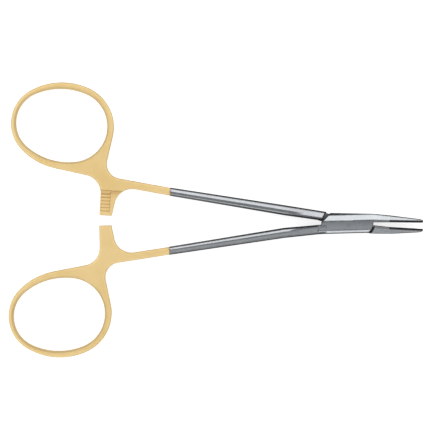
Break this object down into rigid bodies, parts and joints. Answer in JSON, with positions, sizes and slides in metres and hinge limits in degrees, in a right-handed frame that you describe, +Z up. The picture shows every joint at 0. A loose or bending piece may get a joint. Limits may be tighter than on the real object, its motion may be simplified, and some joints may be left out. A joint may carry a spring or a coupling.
{
  "type": "needle holder",
  "caption": "Slender surgical needle holder with ring handles, a ratchet, a box-lock hinge and carbide-faced jaws.",
  "frame": {"origin": "on the pivot axis, in the plane of the flat underside of the box lock", "axes": "+X to the jaw tips along the line that halves the opening, +Y to the handle of the male half, +Z up out of the flat side"},
  "size_m": [0.129, 0.0858, 0.0044],
  "materials": {
    "satin_steel": "satin; the ring handles are gold plated up to 56 mm behind the pivot",
    "carbide": "fine ground, dark grey"
  },
  "bodies": {
    "female": {"female_half": "satin_steel", "pivot_pin": "satin_steel", "female_jaw_insert": "carbide"},
    "male": {"male_half": "satin_steel", "male_jaw_insert": "carbide"}
  },
  "joints": [
    {"name": "box_lock", "type": "hinge", "parent": "female", "child": "male", "pos_m": [0, 0, 0], "axis": [0, 0, 1], "range_deg": [-45, 4.6]}
  ]
}
